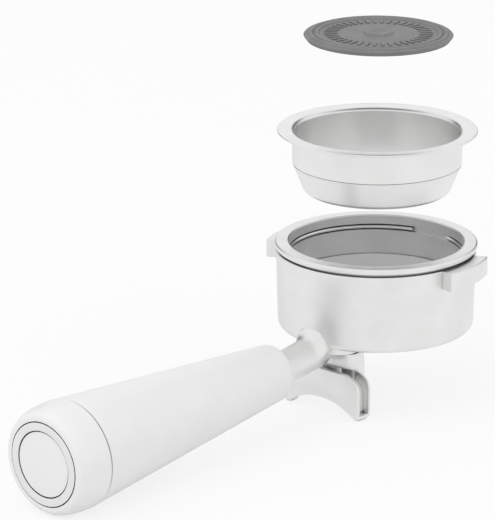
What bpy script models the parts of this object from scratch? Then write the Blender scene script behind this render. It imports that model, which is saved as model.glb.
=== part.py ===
"""Twin-spout portafilter with its basket and cleaning disc lifted out along its axis.

Metres, +Z up. The handle points along -X. The spout's feet and the handle's end stand on Z = 0.
Each part is modelled about the rim's centre, or about the handle's axis, and hung on an empty there.
"""
import math

import bmesh
import bpy
from mathutils import Matrix, Vector

MM = 0.001

# Fits and mesh fineness
GAP = 0.3 * MM
OVERCUT = 2.0 * MM
ROUND_STEPS = 44
SMALL_STEPS = 18
CORNER_STEPS = 4
EDGE_STEPS = 3
WIRE_STEPS = 8
NUT_SIDES = 6
SMOOTH_ANGLE = math.radians(32)

# Cup: heights are below the rim's top face
RIM_R = 33.1 * MM
RIM_EDGE_R = 0.6 * MM
BEAD_HEIGHT = 2.0 * MM
NECKING_R = 31.5 * MM
SHOULDER_DEPTH = 2.8 * MM
WALL_TOP_R = 32.7 * MM
WALL_LOW_R = 32.1 * MM
CUP_DEPTH = 28.9 * MM
CUP_CORNER_R = 2.4 * MM
BORE_R = 28.6 * MM
BORE_CHAMFER = 0.4 * MM
FLOOR_THICK = 3.3 * MM
INNER_CORNER_R = 3.0 * MM

# Bayonet lugs
LUG_R = 37.2 * MM
LUG_ROOT_R = 31.0 * MM
LUG_TOP_DEPTH = 2.8 * MM
LUG_HEIGHT = 6.0 * MM
LUG_CENTRE = math.radians(-81)
LUG_SPAN = math.radians(36.5)
LUG_EDGE = 0.5 * MM
LUG_STEPS = 12

# Basket spring: open wire ring in a groove of the bore
SPRING_DEPTH = 4.2 * MM
SPRING_WIRE_R = 0.6 * MM
SPRING_R = 28.75 * MM
SPRING_GROOVE_R = 29.7 * MM
SPRING_GROOVE_HALF = 1.0 * MM
SPRING_OPENING = math.radians(30)

# Outlet, its hollow screw and the liner on the floor
OUTLET_X = -18.8 * MM
OUTLET_HOLE_R = 3.9 * MM
SPOTFACE_R = 6.8 * MM
SPOTFACE_DEPTH = 26.6 * MM
SCREW_HEAD_R = 6.0 * MM
SCREW_HEAD_THICK = 1.8 * MM
SCREW_SHANK_R = 3.6 * MM
SCREW_BORE_R = 2.4 * MM
SCREW_END_DEPTH = 37.6 * MM
SCREW_WASHER_THICK = 0.8 * MM
LINER_THICK = 1.2 * MM
LINER_TOP_DEPTH = 13.5 * MM
LINER_HOLE_R = 7.2 * MM

# Pad under the cup that the spout is pulled against
PAD_DEPTH = 30.9 * MM
PAD_LENGTH = 18.0 * MM
PAD_WIDTH = 22.0 * MM
PAD_CORNER_R = 6.0 * MM
PAD_CENTRE_X = -21.0 * MM

# Twin spout: X is across the gutter, Y along it
SPOUT_FOOT_DEPTH = 52.6 * MM
GUTTER_FRONT_X = -27.6 * MM
GUTTER_BACK_X = -21.0 * MM
GUTTER_WALL = 1.1 * MM
GUTTER_HALF = 16.0 * MM
GUTTER_TOP_DEPTH = 37.3 * MM
GUTTER_TOP_FALL = 5.0 * MM
GUTTER_FLAT_HALF = 9.0 * MM
ARCH_CROWN_DEPTH = 47.3 * MM
ARCH_END_DEPTH = 51.7 * MM
FOOT_INNER_Y = 14.0 * MM
FOOT_OUTER_Y = 14.7 * MM
FOOT_SIDE_RISE = 3.4 * MM
CHANNEL_DEPTH = 2.6 * MM
CHANNEL_HALF = 13.8 * MM
LIP_DEPTH = 50.6 * MM
FOOT_ROUND = 3.3 * MM
FOOT_ROUND_OVER = 0.5 * MM
GUTTER_STEPS = 14
HOOD_FRONT_X = -25.0 * MM
HOOD_BACK_X = -16.8 * MM
HOOD_HALF = 11.0 * MM
HOOD_CORNER_R = 3.0 * MM
HOOD_END_DEPTH = 36.6 * MM
REAR_FRONT_X = -22.6 * MM
REAR_END_DEPTH = 42.0 * MM
REAR_CORNER_R = 2.5 * MM
STEM_R = 6.2 * MM
STEM_END_DEPTH = 43.6 * MM
WELL_FLOOR_DEPTH = 41.4 * MM
WELL_TOP_DEPTH = 38.8 * MM
WELL_HALF = 4.4 * MM
WELL_FRONT_X = -24.0 * MM
WELL_BACK_X = -16.0 * MM
GASKET_R = 5.2 * MM
GASKET_THICK = 0.9 * MM
GASKET_SEAT_R = 5.45 * MM

# Handle: distances run along its axis from the cup's axis
HANDLE_DROOP = math.radians(1.53)
GRIP_START = 50.0 * MM
GRIP_END = 142.0 * MM
GRIP_FRONT_R = 9.4 * MM
GRIP_REAR_R = 17.25 * MM
GRIP_NOSE_R = 2.4 * MM
GRIP_EDGE_R = 0.5 * MM
NECK_R = 5.4 * MM
NECK_SIDE_R = 5.6 * MM
NECK_START = 24.6 * MM
NECK_BEND = 40.0 * MM
NECK_RISE = 1.9 * MM
NECK_BEND_RISE = 0.4 * MM
NECK_STEPS = 24
FLARE_START_X = -36.1 * MM
FLARE_R = 4.0 * MM
FLARE_REACH = 3.8 * MM
NECK_CUT_LOW = (-32.0 * MM, -38.5 * MM)
NECK_CUT_X = -27.9 * MM
SPIGOT_R = 5.3 * MM
SPIGOT_START = 47.0 * MM
SPIGOT_END = 61.0 * MM
GRIP_SOCKET_R = 6.0 * MM
NECK_SEAL_AT = 53.0 * MM
NECK_SEAL_R = 5.1 * MM
SEAL_CORD_R = 0.6 * MM
NECK_SEAL_GROOVE_R = 4.2 * MM
SEAL_GROOVE_HALF = 1.0 * MM

# Stud, sleeve, washers and nut inside the grip
STUD_R = 2.9 * MM
STUD_START = 38.0 * MM
STUD_END = 132.5 * MM
STUD_HOLE_R = 3.2 * MM
SLEEVE_R = 4.6 * MM
GRIP_BORE_R = 4.9 * MM
NUT_POCKET_START = 121.8 * MM
NUT_POCKET_R = 7.4 * MM
FLAT_WASHER_R = 6.2 * MM
FLAT_WASHER_THICK = 1.6 * MM
SPRING_WASHER_R = 5.3 * MM
SPRING_WASHER_THICK = 1.6 * MM
SPRING_WASHER_SLIT = 0.8 * MM
NUT_FLATS = 10.0 * MM
NUT_THICK = 5.0 * MM

# Rear cap, its seal, ring and insert
CAP_BORE_START = 129.0 * MM
CAP_SOCKET_R = 13.0 * MM
CAP_SPIGOT_R = 12.4 * MM
CAP_SPIGOT_START = 129.6 * MM
CAP_CAVITY_R = 9.5 * MM
CAP_CAVITY_END = 149.4 * MM
CAP_R = 17.4 * MM
CAP_STRAIGHT = 0.6 * MM
CAP_END = 154.2 * MM
CAP_MOUTH_R = 13.55 * MM
CAP_LIP = 0.5 * MM
CAP_FULLNESS = 0.72
CAP_DOME_STEPS = 6
CAP_SEAL_AT = 133.0 * MM
CAP_SEAL_R = 12.1 * MM
CAP_SEAL_GROOVE_R = 11.2 * MM
RECESS_FLOOR = 151.9 * MM
RING_R = 13.25 * MM
RING_INNER_R = 10.6 * MM
RING_FACE = 154.6 * MM
RING_EDGE = 0.5 * MM
INSERT_R = 10.25 * MM
INSERT_EDGE = 154.1 * MM
INSERT_DOME = 0.4 * MM
INSERT_STEPS = 4

# Basket and disc: heights are below the basket's flange
BASKET_LIFT = 37.6 * MM
SHEET = 0.6 * MM
FLANGE_R = 32.5 * MM
BASKET_R = 27.6 * MM
BASKET_BEND_R = 0.9 * MM
STRAIGHT_DEPTH = 11.0 * MM
BASKET_DEPTH = 20.6 * MM
BASKET_FLOOR_R = 24.4 * MM
BASKET_CORNER_R = 2.2 * MM
DISC_ABOVE_FLANGE = 30.8 * MM
DISC_R = 24.1 * MM
DISC_THICK = 1.8 * MM
DISC_EDGE_TAPER = 1.0 * MM
DISC_EDGE_R = 0.4 * MM
DISC_RIDGES = (21.9 * MM, 19.9 * MM)
DISC_RIDGE_HALF = 0.45 * MM
DISC_RIDGE_HEIGHT = 0.5 * MM
DISC_HUB_R = 4.2 * MM
DISC_HUB_HEIGHT = 0.7 * MM

# Places worked out from the sizes above
DROOP_SIN = math.sin(HANDLE_DROOP)
DROOP_COS = math.cos(HANDLE_DROOP)
CAP_SHOULDER = GRIP_END + CAP_STRAIGHT
CAP_LIP_R = CAP_MOUTH_R + CAP_LIP
CAP_TURNS = [math.pi / 2 * step / CAP_DOME_STEPS for step in range(CAP_DOME_STEPS + 1)]
CAP_DOME = [(CAP_LIP_R + (CAP_R - CAP_LIP_R) * math.cos(a) ** CAP_FULLNESS,
             CAP_SHOULDER + (CAP_END - CAP_SHOULDER) * math.sin(a) ** CAP_FULLNESS) for a in CAP_TURNS]
CAP_LOWEST = max(radius * DROOP_COS + along * DROOP_SIN for radius, along in CAP_DOME)
HANDLE_Z = CAP_LOWEST - SPOUT_FOOT_DEPTH
HANDLE_REACH = RING_FACE * DROOP_COS + (RING_R - RING_EDGE) * DROOP_SIN
RIM_X = (HANDLE_REACH - RIM_R) / 2
HANDLE_FRAME = Matrix.Translation((0, 0, HANDLE_Z)) @ Matrix.Rotation(-math.pi / 2 - HANDLE_DROOP, 4, "Y")

STEEL = ((0.74, 0.74, 0.73), 0.32, 1.0)
BRIGHT_STEEL = ((0.80, 0.80, 0.79), 0.22, 1.0)
GREY_PLASTIC = ((0.72, 0.72, 0.72), 0.45, 0.0)
RUBBER = ((0.05, 0.05, 0.05), 0.7, 0.0)
SILICONE = ((0.26, 0.25, 0.25), 0.6, 0.0)
FIBRE = ((0.35, 0.12, 0.06), 0.8, 0.0)


def remove_all_objects():
    for item in list(bpy.data.objects):
        bpy.data.objects.remove(item, do_unlink=True)


def make_material(name, colour, roughness, metallic):
    finish = bpy.data.materials.new(name)
    finish.use_nodes = True
    shader = finish.node_tree.nodes["Principled BSDF"]
    shader.inputs["Base Color"].default_value = (*colour, 1)
    shader.inputs["Roughness"].default_value = roughness
    shader.inputs["Metallic"].default_value = metallic
    return finish


def make_empty(name, parent, location, rotation=(0, 0, 0)):
    empty = bpy.data.objects.new(name, None)
    empty.parent = parent
    empty.location = location
    empty.rotation_euler = rotation
    bpy.context.collection.objects.link(empty)
    return empty


def make_object(name, form):
    """Turns a bmesh into an object of the scene and frees the bmesh."""
    bmesh.ops.recalc_face_normals(form, faces=form.faces)
    mesh = bpy.data.meshes.new(name)
    form.to_mesh(mesh)
    form.free()
    result = bpy.data.objects.new(name, mesh)
    bpy.context.collection.objects.link(result)
    return result


def finish_part(part, parent, finish):
    """Hangs a finished part on its empty, with its own material and smooth round faces."""
    part.parent = parent
    part.data.materials.clear()
    part.data.materials.append(make_material(part.name, *finish))
    part.data.shade_smooth()
    part.data.set_sharp_from_angle(angle=SMOOTH_ANGLE)


def combine(base, other, operation):
    """Gives the base object the Boolean of both objects, and uses up the other one."""
    modifier = base.modifiers.new("combine", "BOOLEAN")
    modifier.operation = operation
    modifier.solver = "EXACT"
    modifier.object = other
    graph = bpy.context.evaluated_depsgraph_get()
    result = bpy.data.meshes.new_from_object(base.evaluated_get(graph))
    base.modifiers.clear()
    base.data = result
    bpy.data.objects.remove(other, do_unlink=True)


def cut(base, form):
    combine(base, make_object("cutter", form), "DIFFERENCE")


def join(base, form):
    combine(base, make_object("addition", form), "UNION")


def arc(centre, radius, start, end, steps=CORNER_STEPS):
    """Points on an arc in a plane; angles are in degrees, both ends included."""
    angles = [math.radians(start + (end - start) * step / steps) for step in range(steps + 1)]
    return [(centre[0] + radius * math.cos(a), centre[1] + radius * math.sin(a)) for a in angles]


def lathe(profile, steps=ROUND_STEPS):
    """Turns (radius, height) points round Z. A profile that starts on the axis ends on it too."""
    form = bmesh.new()
    turns = [2 * math.pi * step / steps for step in range(steps)]
    rings = []
    for radius, height in profile:
        if radius == 0:
            rings.append([form.verts.new((0, 0, height))])
        else:
            ring = [(radius * math.cos(a), radius * math.sin(a), height) for a in turns]
            rings.append([form.verts.new(point) for point in ring])
    pairs = list(zip(rings, rings[1:]))
    if profile[0][0] != 0:
        pairs.append((rings[-1], rings[0]))
    for lower, upper in pairs:
        for this in range(steps):
            after = (this + 1) % steps
            corners = (lower[this % len(lower)], lower[after % len(lower)],
                       upper[after % len(upper)], upper[this % len(upper)])
            form.faces.new(list(dict.fromkeys(corners)))
    return form


def tube(inner, outer, low, high, steps=SMALL_STEPS):
    return lathe([(outer, low), (outer, high), (inner, high), (inner, low)], steps)


def rod(radius, low, high, steps=SMALL_STEPS):
    return lathe([(0, low), (radius, low), (radius, high), (0, high)], steps)


def rubber_ring(radius, height):
    last = 360 - 360 / WIRE_STEPS
    return lathe(arc((radius, height), SEAL_CORD_R, 0, last, WIRE_STEPS - 1), SMALL_STEPS)


def prism(outline, axis, start, end):
    """Extrudes a flat outline along X (outline is y, z), Y (outline is x, z) or Z (outline is x, y)."""
    form = bmesh.new()
    place = {"X": lambda p, at: (at, p[0], p[1]), "Y": lambda p, at: (p[0], at, p[1]),
             "Z": lambda p, at: (p[0], p[1], at)}[axis]
    lower = [form.verts.new(place(point, start)) for point in outline]
    upper = [form.verts.new(place(point, end)) for point in outline]
    form.faces.new(lower)
    form.faces.new(upper)
    for this in range(len(outline)):
        form.faces.new((lower[this - 1], lower[this], upper[this], upper[this - 1]))
    return form


def rounded_rectangle(centre_x, length, width, corner):
    """Outline in X and Y with round corners."""
    outline = []
    for side_x, side_y, start in ((1, 1, 0), (-1, 1, 90), (-1, -1, 180), (1, -1, 270)):
        middle = (centre_x + side_x * (length / 2 - corner), side_y * (width / 2 - corner))
        outline += arc(middle, corner, start, start + 90)
    return outline


def sweep(path, side, section_steps, half_height, half_width):
    """Tube with an oval section along a path; side gives the section's sideways direction."""
    form = bmesh.new()
    rings = []
    for index, point in enumerate(path):
        before = path[max(index - 1, 0)]
        after = path[min(index + 1, len(path) - 1)]
        across = side(point)
        upward = (after - before).normalized().cross(across)
        ring = []
        for step in range(section_steps):
            a = 2 * math.pi * step / section_steps
            offset = across * (half_width * math.cos(a)) + upward * (half_height * math.sin(a))
            ring.append(form.verts.new(point + offset))
        rings.append(ring)
    for lower, upper in zip(rings, rings[1:]):
        for this in range(section_steps):
            after = (this + 1) % section_steps
            form.faces.new((lower[this], lower[after], upper[after], upper[this]))
    form.faces.new(rings[0])
    form.faces.new(rings[-1])
    return form


def on_handle(form):
    """Moves a form from the handle's own axis into the rim's frame."""
    bmesh.ops.transform(form, matrix=HANDLE_FRAME, verts=form.verts)
    return form


def at_outlet(form):
    bmesh.ops.translate(form, verts=form.verts, vec=(OUTLET_X, 0, 0))
    return form


def cup_outside():
    corner = (WALL_LOW_R - CUP_CORNER_R, CUP_CORNER_R - CUP_DEPTH)
    profile = [(0, -CUP_DEPTH), (BORE_R / 2, -CUP_DEPTH)]
    profile += arc(corner, CUP_CORNER_R, -90, 0)
    profile += [(WALL_TOP_R, -SHOULDER_DEPTH - RIM_EDGE_R)]
    profile += [(WALL_TOP_R - RIM_EDGE_R / 2, -SHOULDER_DEPTH), (NECKING_R, -SHOULDER_DEPTH)]
    profile += [(NECKING_R, -BEAD_HEIGHT)]
    profile += arc((RIM_R - RIM_EDGE_R, RIM_EDGE_R - BEAD_HEIGHT), RIM_EDGE_R, -90, 0, EDGE_STEPS)
    profile += arc((RIM_R - RIM_EDGE_R, -RIM_EDGE_R), RIM_EDGE_R, 0, 90, EDGE_STEPS)
    profile += [(BORE_R / 2, 0), (0, 0)]
    return lathe(profile)


def cup_inside():
    floor = FLOOR_THICK - CUP_DEPTH
    profile = [(0, floor), (BORE_R / 2, floor)]
    profile += arc((BORE_R - INNER_CORNER_R, floor + INNER_CORNER_R), INNER_CORNER_R, -90, 0)
    profile += [(BORE_R, -LINER_TOP_DEPTH), (BORE_R, -SPRING_DEPTH - SPRING_GROOVE_HALF)]
    profile += [(SPRING_GROOVE_R, -SPRING_DEPTH - SPRING_GROOVE_HALF)]
    profile += [(SPRING_GROOVE_R, -SPRING_DEPTH + SPRING_GROOVE_HALF)]
    profile += [(BORE_R, -SPRING_DEPTH + SPRING_GROOVE_HALF), (BORE_R, -BORE_CHAMFER)]
    profile += [(BORE_R + BORE_CHAMFER, 0), (BORE_R + BORE_CHAMFER, OVERCUT), (0, OVERCUT)]
    return lathe(profile)


def lug(centre):
    """One bayonet lug: a sector of a ring with its outer edges broken."""
    angles = [centre + LUG_SPAN * (step / LUG_STEPS - 0.5) for step in range(LUG_STEPS + 1)]
    outline = [(LUG_R * math.cos(a), LUG_R * math.sin(a)) for a in angles]
    outline += [(LUG_ROOT_R * math.cos(a), LUG_ROOT_R * math.sin(a)) for a in reversed(angles)]
    form = prism(outline, "Z", -LUG_TOP_DEPTH - LUG_HEIGHT, -LUG_TOP_DEPTH)
    outside = (LUG_R + WALL_TOP_R) / 2
    edges = [e for e in form.edges if all(corner.co.xy.length > outside for corner in e.verts)]
    bmesh.ops.recalc_face_normals(form, faces=form.faces)
    sharp = [e for e in edges if e.calc_face_angle(0) > SMOOTH_ANGLE]
    bmesh.ops.bevel(form, geom=sharp, offset=LUG_EDGE, segments=2, profile=0.5, affect="EDGES")
    return form


def neck():
    """Arm under the cup: it runs along the handle's axis and its top curves up into the cup's wall."""
    start = HANDLE_FRAME @ Vector((NECK_RISE, 0, NECK_START))
    bend = HANDLE_FRAME @ Vector((NECK_BEND_RISE, 0, NECK_BEND))
    end = HANDLE_FRAME @ Vector((0, 0, SPIGOT_START + GAP))
    path = []
    for step in range(NECK_STEPS + 1):
        t = step / NECK_STEPS
        path.append(start * (1 - t) ** 2 + bend * (2 * t * (1 - t)) + end * t * t)
    form = sweep(path, lambda point: Vector((0, 1, 0)), SMALL_STEPS, NECK_R, NECK_SIDE_R)
    for corner in form.verts:
        along = min(max(corner.co.x - FLARE_START_X, 0), FLARE_REACH)
        rise = FLARE_R - math.sqrt(FLARE_R ** 2 - along ** 2)
        share = max(corner.co.z - HANDLE_Z, 0) / NECK_R
        corner.co.y *= 1 + rise * share / NECK_SIDE_R
        corner.co.z += rise * share
    return form


def portafilter_body():
    body = make_object("portafilter_body", cup_outside())
    pad = rounded_rectangle(PAD_CENTRE_X, PAD_LENGTH, PAD_WIDTH, PAD_CORNER_R)
    join(body, prism(pad, "Z", -PAD_DEPTH, FLOOR_THICK / 2 - CUP_DEPTH))
    join(body, neck())
    for centre in (LUG_CENTRE, LUG_CENTRE + math.pi):
        join(body, lug(centre))
    spout_room = [NECK_CUT_LOW, (NECK_CUT_X, -PAD_DEPTH), (0, -PAD_DEPTH), (0, NECK_CUT_LOW[1])]
    cut(body, prism(spout_room, "Y", -GUTTER_HALF, GUTTER_HALF))
    groove_start = NECK_SEAL_AT - SEAL_GROOVE_HALF
    groove_end = NECK_SEAL_AT + SEAL_GROOVE_HALF
    spigot = [(0, SPIGOT_START), (SPIGOT_R, SPIGOT_START), (SPIGOT_R, groove_start)]
    spigot += [(NECK_SEAL_GROOVE_R, groove_start), (NECK_SEAL_GROOVE_R, groove_end)]
    spigot += [(SPIGOT_R, groove_end), (SPIGOT_R, SPIGOT_END), (0, SPIGOT_END)]
    join(body, on_handle(lathe(spigot, SMALL_STEPS)))
    cut(body, cup_inside())
    outlet = [(0, -PAD_DEPTH - OVERCUT), (OUTLET_HOLE_R, -PAD_DEPTH - OVERCUT)]
    outlet += [(OUTLET_HOLE_R, -SPOTFACE_DEPTH), (SPOTFACE_R, -SPOTFACE_DEPTH)]
    outlet += [(SPOTFACE_R, -LINER_TOP_DEPTH), (0, -LINER_TOP_DEPTH)]
    cut(body, at_outlet(lathe(outlet, SMALL_STEPS)))
    cut(body, on_handle(rod(STUD_HOLE_R, STUD_START - GAP, SPIGOT_END + OVERCUT)))
    return body


def basket_spring():
    turns = 2 * math.pi - SPRING_OPENING
    path = []
    for step in range(ROUND_STEPS + 1):
        a = SPRING_OPENING / 2 + turns * step / ROUND_STEPS
        path.append(Vector((SPRING_R * math.cos(a), SPRING_R * math.sin(a), -SPRING_DEPTH)))
    wire = sweep(path, lambda point: point.xy.normalized().to_3d(), WIRE_STEPS,
                 SPRING_WIRE_R, SPRING_WIRE_R)
    return make_object("basket_spring", wire)


def drain_liner():
    """Thin shell on the floor and lower wall of the cup, open round the screw's head."""
    floor = FLOOR_THICK - CUP_DEPTH + GAP
    outer = BORE_R - GAP
    corner = (BORE_R - INNER_CORNER_R, floor - GAP + INNER_CORNER_R)
    profile = [(0, floor), (BORE_R / 2, floor)]
    profile += arc(corner, INNER_CORNER_R - GAP, -90, 0)
    profile += [(outer, -LINER_TOP_DEPTH), (outer - LINER_THICK, -LINER_TOP_DEPTH)]
    profile += arc(corner, INNER_CORNER_R - GAP - LINER_THICK, 0, -90)
    profile += [(BORE_R / 2, floor + LINER_THICK), (0, floor + LINER_THICK)]
    liner = make_object("drain_liner", lathe(profile))
    cut(liner, at_outlet(rod(LINER_HOLE_R, -PAD_DEPTH, -LINER_TOP_DEPTH)))
    return liner


def screw_washer():
    low = GAP - SPOTFACE_DEPTH
    washer = tube(OUTLET_HOLE_R, SCREW_HEAD_R, low, low + SCREW_WASHER_THICK)
    return make_object("screw_washer", at_outlet(washer))


def spout_screw():
    """Hollow screw: a flange inside the cup and a shank down into the spout."""
    seat = 2 * GAP + SCREW_WASHER_THICK - SPOTFACE_DEPTH
    top = seat + SCREW_HEAD_THICK
    profile = [(SCREW_BORE_R, -SCREW_END_DEPTH), (SCREW_SHANK_R, -SCREW_END_DEPTH)]
    profile += [(SCREW_SHANK_R, seat), (SCREW_HEAD_R, seat), (SCREW_HEAD_R, top - GAP)]
    profile += [(SCREW_HEAD_R - GAP, top), (SCREW_BORE_R, top)]
    return make_object("spout_screw", at_outlet(lathe(profile, SMALL_STEPS)))


def spout_gasket():
    top = -PAD_DEPTH - GAP
    return make_object("spout_gasket", at_outlet(tube(OUTLET_HOLE_R, GASKET_R, top - GASKET_THICK, top)))


def oval_top(y, half, depth):
    """Height of the gutter's top edge or channel floor: flat in the middle, an oval corner at each end."""
    along = max(abs(y) - GUTTER_FLAT_HALF, 0) / (half - GUTTER_FLAT_HALF)
    return -depth - GUTTER_TOP_FALL * (1 - math.sqrt(1 - along * along))


def oval_edge(half, depth):
    places = [half * math.cos(math.pi * step / GUTTER_STEPS) for step in range(GUTTER_STEPS + 1)]
    return [(y, oval_top(y, half, depth)) for y in places]


def arch():
    """Points of the arch between the two feet, along +Y."""
    rise = ARCH_END_DEPTH - ARCH_CROWN_DEPTH
    radius = (FOOT_INNER_Y ** 2 + rise ** 2) / (2 * rise)
    centre = -ARCH_CROWN_DEPTH - radius
    places = [FOOT_INNER_Y * (2 * step / GUTTER_STEPS - 1) for step in range(GUTTER_STEPS + 1)]
    return [(y, centre + math.sqrt(radius ** 2 - y * y)) for y in places]


def gutter_outline():
    side = [(FOOT_INNER_Y + GAP, -SPOUT_FOOT_DEPTH)]
    for step in range(CORNER_STEPS + 1):
        a = math.pi / 2 * step / CORNER_STEPS
        side.append((FOOT_OUTER_Y + (GUTTER_HALF - FOOT_OUTER_Y) * math.sin(a),
                     FOOT_SIDE_RISE * (1 - math.cos(a)) - SPOUT_FOOT_DEPTH))
    top = oval_edge(GUTTER_HALF, GUTTER_TOP_DEPTH)
    return arch() + side + top + [(-y, z) for y, z in reversed(side)]


def foot_outline():
    """Outline in X and Z that rounds the feet off, a little wider than the gutter."""
    front = GUTTER_FRONT_X - FOOT_ROUND_OVER + FOOT_ROUND
    back = GUTTER_BACK_X + FOOT_ROUND_OVER - FOOT_ROUND
    height = FOOT_ROUND - SPOUT_FOOT_DEPTH
    corners = arc((front, height), FOOT_ROUND, 180, 270) + arc((back, height), FOOT_ROUND, 270, 360)
    return corners + [(back + FOOT_ROUND, -PAD_DEPTH), (front - FOOT_ROUND, -PAD_DEPTH)]


def channel_outline():
    """The channel's floor follows the gutter's top edge and turns down to a lip at each end."""
    end = GUTTER_HALF + OVERCUT
    lip = [(-CHANNEL_HALF, -LIP_DEPTH), (-end, -LIP_DEPTH), (-end, -PAD_DEPTH)]
    lip += [(end, -PAD_DEPTH), (end, -LIP_DEPTH), (CHANNEL_HALF, -LIP_DEPTH)]
    return oval_edge(CHANNEL_HALF, GUTTER_TOP_DEPTH + CHANNEL_DEPTH) + lip


def twin_spout():
    spout = make_object("twin_spout", prism(gutter_outline(), "X", GUTTER_FRONT_X, GUTTER_BACK_X))
    reach = GUTTER_HALF + OVERCUT
    feet = make_object("feet", prism(foot_outline(), "Y", -reach, reach))
    combine(spout, feet, "INTERSECT")
    channel_front = GUTTER_FRONT_X + GUTTER_WALL
    cut(spout, prism(channel_outline(), "X", channel_front, GUTTER_BACK_X - GUTTER_WALL))
    top = -PAD_DEPTH - GAP
    rear = rounded_rectangle((REAR_FRONT_X + HOOD_BACK_X) / 2, HOOD_BACK_X - REAR_FRONT_X,
                             2 * HOOD_HALF, REAR_CORNER_R)
    join(spout, prism(rear, "Z", -REAR_END_DEPTH, (top - HOOD_END_DEPTH) / 2))
    hood = rounded_rectangle((HOOD_FRONT_X + HOOD_BACK_X) / 2, HOOD_BACK_X - HOOD_FRONT_X,
                             2 * HOOD_HALF, HOOD_CORNER_R)
    join(spout, prism(hood, "Z", -HOOD_END_DEPTH, top))
    join(spout, at_outlet(rod(STEM_R, -STEM_END_DEPTH, top)))
    well = rounded_rectangle((WELL_FRONT_X + WELL_BACK_X) / 2, WELL_BACK_X - WELL_FRONT_X,
                             2 * WELL_HALF, GUTTER_WALL)
    cut(spout, prism(well, "Z", -WELL_FLOOR_DEPTH, -WELL_TOP_DEPTH))
    seat = top - GASKET_THICK - GAP
    bore = [(0, -WELL_TOP_DEPTH - OVERCUT), (OUTLET_HOLE_R, -WELL_TOP_DEPTH - OVERCUT)]
    bore += [(OUTLET_HOLE_R, seat), (GASKET_SEAT_R, seat)]
    bore += [(GASKET_SEAT_R, top + OVERCUT), (0, top + OVERCUT)]
    cut(spout, at_outlet(lathe(bore, SMALL_STEPS)))
    return spout


def neck_stud():
    return make_object("neck_stud", rod(STUD_R, STUD_START, STUD_END))


def neck_seal():
    return make_object("neck_seal", rubber_ring(NECK_SEAL_R, NECK_SEAL_AT))


def grip_sleeve():
    return make_object("grip_sleeve", tube(STUD_HOLE_R, SLEEVE_R, SPIGOT_END + GAP, NUT_POCKET_START))


def handle_grip():
    nose = (GRIP_FRONT_R - GRIP_NOSE_R, GRIP_START + GRIP_NOSE_R)
    profile = [(GRIP_SOCKET_R, GRIP_START)] + arc(nose, GRIP_NOSE_R, -90, 0)
    profile += arc((GRIP_REAR_R - GRIP_EDGE_R, GRIP_END - GRIP_EDGE_R), GRIP_EDGE_R, 0, 90, EDGE_STEPS)
    profile += [(CAP_SOCKET_R, GRIP_END), (CAP_SOCKET_R, CAP_BORE_START), (NUT_POCKET_R, CAP_BORE_START)]
    profile += [(NUT_POCKET_R, NUT_POCKET_START), (GRIP_BORE_R, NUT_POCKET_START)]
    profile += [(GRIP_BORE_R, SPIGOT_END), (GRIP_SOCKET_R, SPIGOT_END)]
    return make_object("handle_grip", lathe(profile))


def flat_washer():
    low = NUT_POCKET_START + GAP
    return make_object("flat_washer", tube(STUD_HOLE_R, FLAT_WASHER_R, low, low + FLAT_WASHER_THICK))


def spring_washer():
    low = NUT_POCKET_START + 2 * GAP + FLAT_WASHER_THICK
    ring = tube(STUD_HOLE_R, SPRING_WASHER_R, low, low + SPRING_WASHER_THICK)
    washer = make_object("spring_washer", ring)
    slit = rounded_rectangle(SPRING_WASHER_R, SPRING_WASHER_R, SPRING_WASHER_SLIT, SPRING_WASHER_SLIT / 4)
    cut(washer, prism(slit, "Z", low - OVERCUT, low + OVERCUT + SPRING_WASHER_THICK))
    return washer


def handle_nut():
    low = NUT_POCKET_START + 3 * GAP + FLAT_WASHER_THICK + SPRING_WASHER_THICK
    corner = NUT_FLATS / math.sqrt(3)
    outline = arc((0, 0), corner, 0, 360 - 360 / NUT_SIDES, NUT_SIDES - 1)
    nut = make_object("handle_nut", prism(outline, "Z", low, low + NUT_THICK))
    cut(nut, rod(STUD_HOLE_R, low - OVERCUT, low + OVERCUT + NUT_THICK))
    return nut


def end_cap():
    front = GRIP_END + GAP
    profile = [(0, CAP_CAVITY_END), (CAP_CAVITY_R, CAP_CAVITY_END), (CAP_CAVITY_R, CAP_SPIGOT_START)]
    profile += [(CAP_SPIGOT_R, CAP_SPIGOT_START), (CAP_SPIGOT_R, CAP_SEAL_AT - SEAL_GROOVE_HALF)]
    profile += [(CAP_SEAL_GROOVE_R, CAP_SEAL_AT - SEAL_GROOVE_HALF)]
    profile += [(CAP_SEAL_GROOVE_R, CAP_SEAL_AT + SEAL_GROOVE_HALF)]
    profile += [(CAP_SPIGOT_R, CAP_SEAL_AT + SEAL_GROOVE_HALF), (CAP_SPIGOT_R, front)]
    profile += arc((CAP_R - GRIP_EDGE_R, front + GRIP_EDGE_R), GRIP_EDGE_R, -90, 0, EDGE_STEPS)
    profile += CAP_DOME
    profile += [(CAP_MOUTH_R, CAP_END), (CAP_MOUTH_R, RECESS_FLOOR), (0, RECESS_FLOOR)]
    return make_object("end_cap", lathe(profile))


def cap_seal():
    return make_object("cap_seal", rubber_ring(CAP_SEAL_R, CAP_SEAL_AT))


def end_ring():
    low = RECESS_FLOOR + GAP
    profile = [(RING_R, low), (RING_R, RING_FACE - RING_EDGE), (RING_R - RING_EDGE, RING_FACE)]
    profile += [(RING_INNER_R + RING_EDGE, RING_FACE), (RING_INNER_R, RING_FACE - RING_EDGE)]
    profile += [(RING_INNER_R, low)]
    return make_object("end_ring", lathe(profile))


def end_insert():
    low = RECESS_FLOOR + GAP
    profile = [(0, low), (INSERT_R, low)]
    for step in range(INSERT_STEPS + 1):
        radius = INSERT_R * (1 - step / INSERT_STEPS)
        profile.append((radius, INSERT_EDGE + INSERT_DOME * (1 - (radius / INSERT_R) ** 2)))
    return make_object("end_insert", lathe(profile))


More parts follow.
